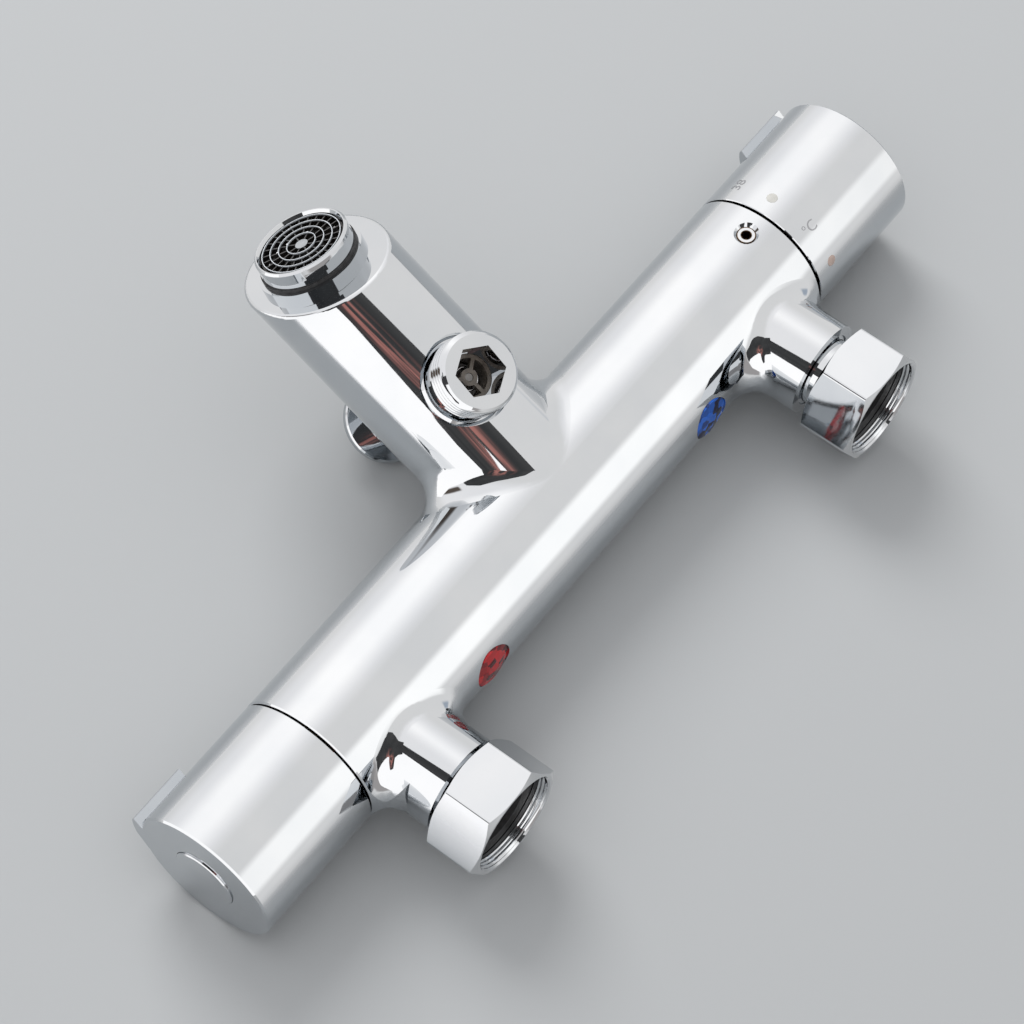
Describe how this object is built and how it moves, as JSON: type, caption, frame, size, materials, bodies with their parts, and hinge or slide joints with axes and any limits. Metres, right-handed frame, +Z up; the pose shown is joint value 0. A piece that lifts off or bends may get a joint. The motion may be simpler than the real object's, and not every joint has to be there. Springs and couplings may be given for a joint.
{
  "type": "thermostatic mixing valve",
  "caption": "Exposed bar mixing valve with wall unions, temperature and flow handles, a sloping spout with aerator, a pull diverter and a hose outlet.",
  "frame": {"origin": "midway between the two inlets, on the plane of their sealing faces", "axes": "+X along the bar to the temperature handle and the cold inlet, +Y to the wall, +Z up as fitted"},
  "size_m": [0.2644, 0.1419, 0.0736],
  "materials": {
    "chrome": "polished chrome plate",
    "brass": "turned",
    "steel": "bright stainless",
    "black_rubber": "matt",
    "ceramic": "lapped alumina ceramic",
    "white_plastic": "moulded",
    "dark_plastic": "moulded",
    "check_plastic": "moulded",
    "grille_plastic": "moulded",
    "red_plastic": "translucent red",
    "blue_plastic": "translucent blue"
  },
  "bodies": {
    "valve": {"valve_body": "chrome", "grub_screw": "steel", "mixed_water_tube": "white_plastic", "flow_cartridge_housing": "brass", "flow_cartridge_orings": "black_rubber", "flow_disc_seal": "black_rubber", "flow_fixed_disc": "ceramic", "temperature_stop_ring": "white_plastic", "temperature_cartridge_housing": "brass", "temperature_cartridge_orings": "black_rubber", "regulating_spring": "steel", "diverter_bonnet": "brass", "diverter_orings": "black_rubber", "hose_outlet_nipple": "chrome", "outlet_check_housing": "dark_plastic", "outlet_check_spring": "steel", "aerator_seal": "black_rubber", "aerator_housing": "chrome", "aerator_insert": "grille_plastic", "aerator_screen": "steel", "hot_index_insert": "red_plastic", "cold_index_insert": "blue_plastic", "hot_inlet_shank": "chrome", "cold_inlet_shank": "chrome", "hot_check_housing": "dark_plastic", "cold_check_housing": "dark_plastic", "hot_check_spring": "steel", "cold_check_spring": "steel"},
    "flow_control": {"flow_handle": "chrome", "flow_handle_cap": "chrome", "flow_handle_screw": "steel", "flow_adaptor": "white_plastic", "flow_moving_disc": "ceramic", "flow_spindle": "brass"},
    "temperature_control": {"temperature_handle": "chrome", "temperature_handle_cap": "chrome", "temperature_handle_screw": "steel", "temperature_adaptor": "white_plastic", "temperature_spindle": "brass"},
    "regulator": {"regulating_nut": "brass", "wax_element": "brass", "regulating_slide": "white_plastic"},
    "diverter": {"diverter_knob": "chrome", "diverter_stem": "brass", "diverter_valve": "black_rubber"},
    "outlet_poppet": {"outlet_check_poppet": "check_plastic"},
    "hot_washer": {"hot_seal_washer": "black_rubber"},
    "hot_nut": {"hot_union_nut": "chrome"},
    "hot_poppet": {"hot_check_poppet": "check_plastic"},
    "cold_washer": {"cold_seal_washer": "black_rubber"},
    "cold_nut": {"cold_union_nut": "chrome"},
    "cold_poppet": {"cold_check_poppet": "check_plastic"}
  },
  "joints": [
    {"name": "flow_turn", "type": "hinge", "parent": "valve", "child": "flow_control", "pos_m": [-0.11, -0.0437, 0], "axis": [1, 0, 0], "range_deg": [-90, 0]},
    {"name": "temperature_turn", "type": "hinge", "parent": "valve", "child": "temperature_control", "pos_m": [0.11, -0.0437, 0], "axis": [1, 0, 0], "range_deg": [-160, 110]},
    {"name": "regulator_slide", "type": "slide", "parent": "valve", "child": "regulator", "axis": [1, 0, 0], "range_m": [-0.0007, 0.0005], "deforming": ["regulating_spring"]},
    {"name": "diverter_pull", "type": "slide", "parent": "valve", "child": "diverter", "axis": [0, -0.5, 0.866], "range_m": [0, 0.0078]},
    {"name": "outlet_poppet_slide", "type": "slide", "parent": "valve", "child": "outlet_poppet", "axis": [0, 0.5, -0.866], "range_m": [0, 0.0018], "stiffness_N_per_m": 100, "springref_m": -0.002, "deforming": ["outlet_check_spring"]},
    {"name": "hot_nut_slide", "type": "slide", "parent": "valve", "child": "hot_washer", "axis": [0, 1, 0], "range_m": [0, 0.0026]},
    {"name": "hot_nut_turn", "type": "hinge", "parent": "hot_washer", "child": "hot_nut", "pos_m": [-0.075, 0, 0], "axis": [0, 1, 0], "continuous": true},
    {"name": "hot_poppet_slide", "type": "slide", "parent": "valve", "child": "hot_poppet", "axis": [0, -1, 0], "range_m": [0, 0.0022], "stiffness_N_per_m": 100, "springref_m": -0.002, "deforming": ["hot_check_spring"]},
    {"name": "cold_nut_slide", "type": "slide", "parent": "valve", "child": "cold_washer", "axis": [0, 1, 0], "range_m": [-0.0026, 0]},
    {"name": "cold_nut_turn", "type": "hinge", "parent": "cold_washer", "child": "cold_nut", "pos_m": [0.075, 0, 0], "axis": [0, 1, 0], "continuous": true},
    {"name": "cold_poppet_slide", "type": "slide", "parent": "valve", "child": "cold_poppet", "axis": [0, -1, 0], "range_m": [0, 0.0022], "stiffness_N_per_m": 100, "springref_m": -0.002, "deforming": ["cold_check_spring"]}
  ],
  "couplings": [
    {"joint": "regulator_slide", "follows": "temperature_turn", "m_per_rad": 0.00023873}
  ]
}
